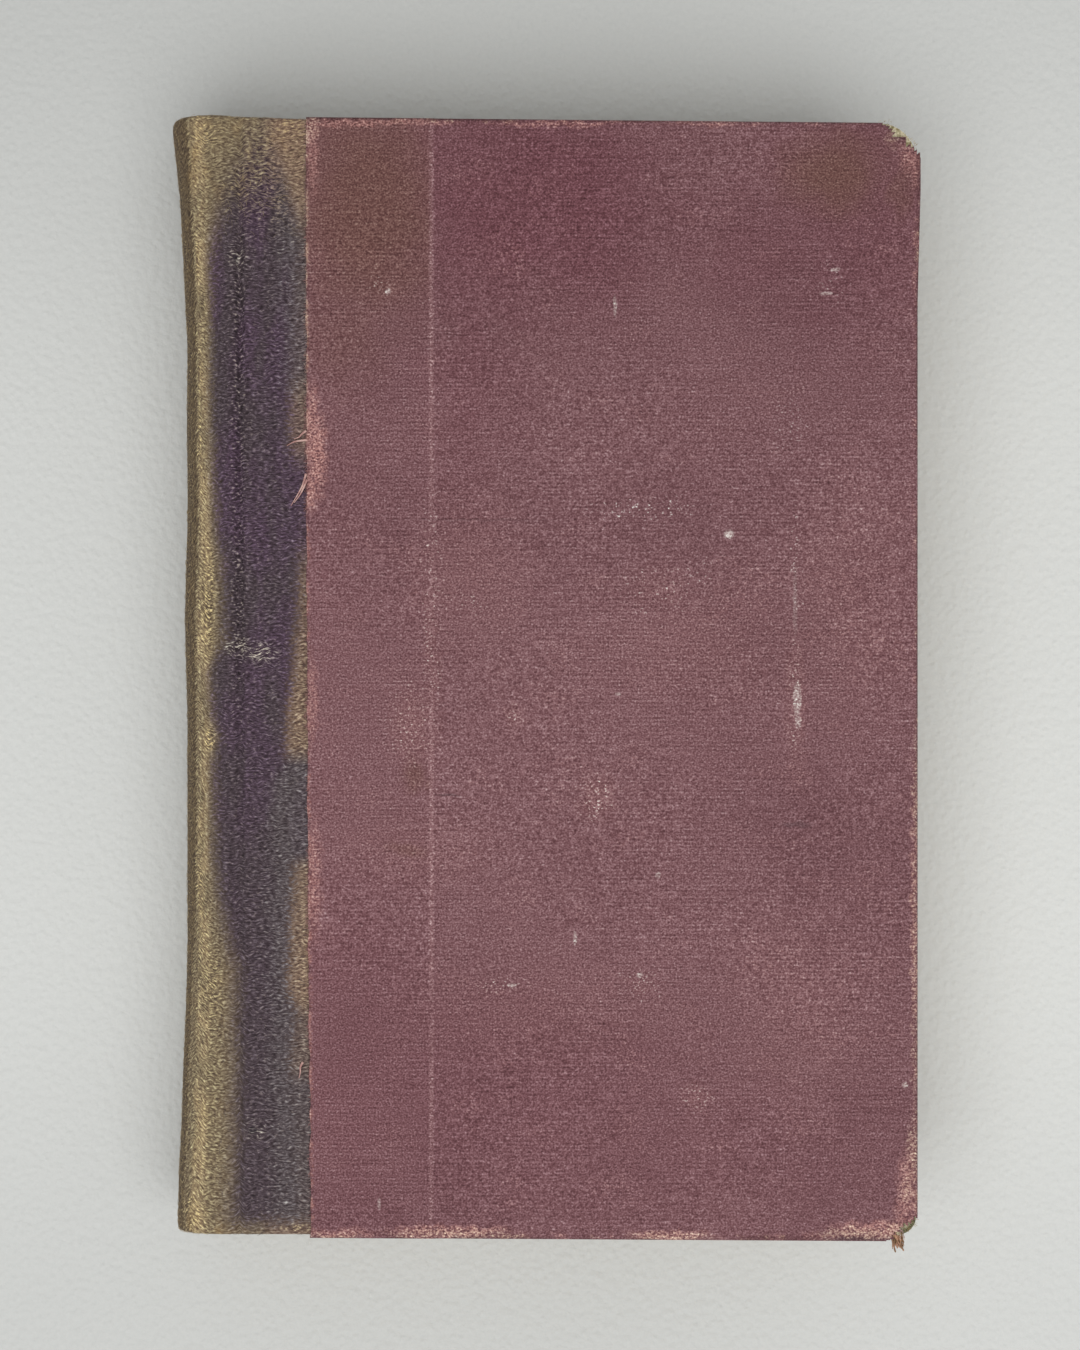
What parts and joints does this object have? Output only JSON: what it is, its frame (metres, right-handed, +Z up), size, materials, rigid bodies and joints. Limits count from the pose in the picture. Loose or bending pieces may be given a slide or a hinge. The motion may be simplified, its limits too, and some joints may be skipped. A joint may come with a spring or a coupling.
{
  "type": "hardback book",
  "caption": "Old quarter-bound hardback book, closed and lying flat, with napped cloth spine, plain cloth sides and covers that open on hinge lines.",
  "frame": {"origin": "on the table under the middle of the book's bounding box, as it lies closed on its back cover", "axes": "+Z up through the front cover, +Y towards the head, +X towards the fore-edge"},
  "size_m": [0.1623, 0.2406, 0.036],
  "materials": {
    "maroon_book_cloth": "plain woven book cloth, faded maroon, matt",
    "napped_spine_cloth": "napped twill, purple faded to tan along the spine",
    "millboard": "grey-brown board",
    "page_paper": "aged cream paper",
    "endpaper": "aged plain endpaper",
    "lining_paper": "brown lining paper",
    "mull_gauze": "open starched gauze",
    "linen_cord": "twisted linen cord",
    "headband_cloth": "rolled striped cloth band",
    "corner_vellum": "stiff pale vellum, worn"
  },
  "bodies": {
    "text_block": {"text_block": "page_paper", "headband": "headband_cloth", "tailband": "headband_cloth", "spine_mull": "mull_gauze", "spine_lining": "lining_paper", "spine_inlay": "lining_paper", "spine_cover": "napped_spine_cloth", "front_flyleaf": "endpaper", "back_flyleaf": "endpaper", "sewing_cord_1": "linen_cord", "sewing_cord_2": "linen_cord", "sewing_cord_3": "linen_cord", "sewing_cord_4": "linen_cord", "sewing_cord_5": "linen_cord"},
    "front_cover": {"front_board": "millboard", "front_side_cloth": "maroon_book_cloth", "front_spine_strip": "napped_spine_cloth", "front_mull_flange": "mull_gauze", "front_pastedown": "endpaper", "front_head_corner_tip": "corner_vellum", "front_tail_corner_tip": "corner_vellum", "front_cord_slip_1": "linen_cord", "front_cord_slip_2": "linen_cord", "front_cord_slip_3": "linen_cord", "front_cord_slip_4": "linen_cord", "front_cord_slip_5": "linen_cord"},
    "back_cover": {"back_board": "millboard", "back_side_cloth": "maroon_book_cloth", "back_spine_strip": "napped_spine_cloth", "back_mull_flange": "mull_gauze", "back_pastedown": "endpaper", "back_head_corner_tip": "corner_vellum", "back_tail_corner_tip": "corner_vellum", "back_cord_slip_1": "linen_cord", "back_cord_slip_2": "linen_cord", "back_cord_slip_3": "linen_cord", "back_cord_slip_4": "linen_cord", "back_cord_slip_5": "linen_cord"}
  },
  "joints": [
    {"name": "front_hinge", "type": "hinge", "parent": "text_block", "child": "front_cover", "pos_m": [-0.06445, 0, 0.0356], "axis": [0, -1, 0], "range_deg": [0, 180]},
    {"name": "back_hinge", "type": "hinge", "parent": "text_block", "child": "back_cover", "pos_m": [-0.06445, 0, 0.0004], "axis": [0, 1, 0], "range_deg": [0, 180]}
  ]
}
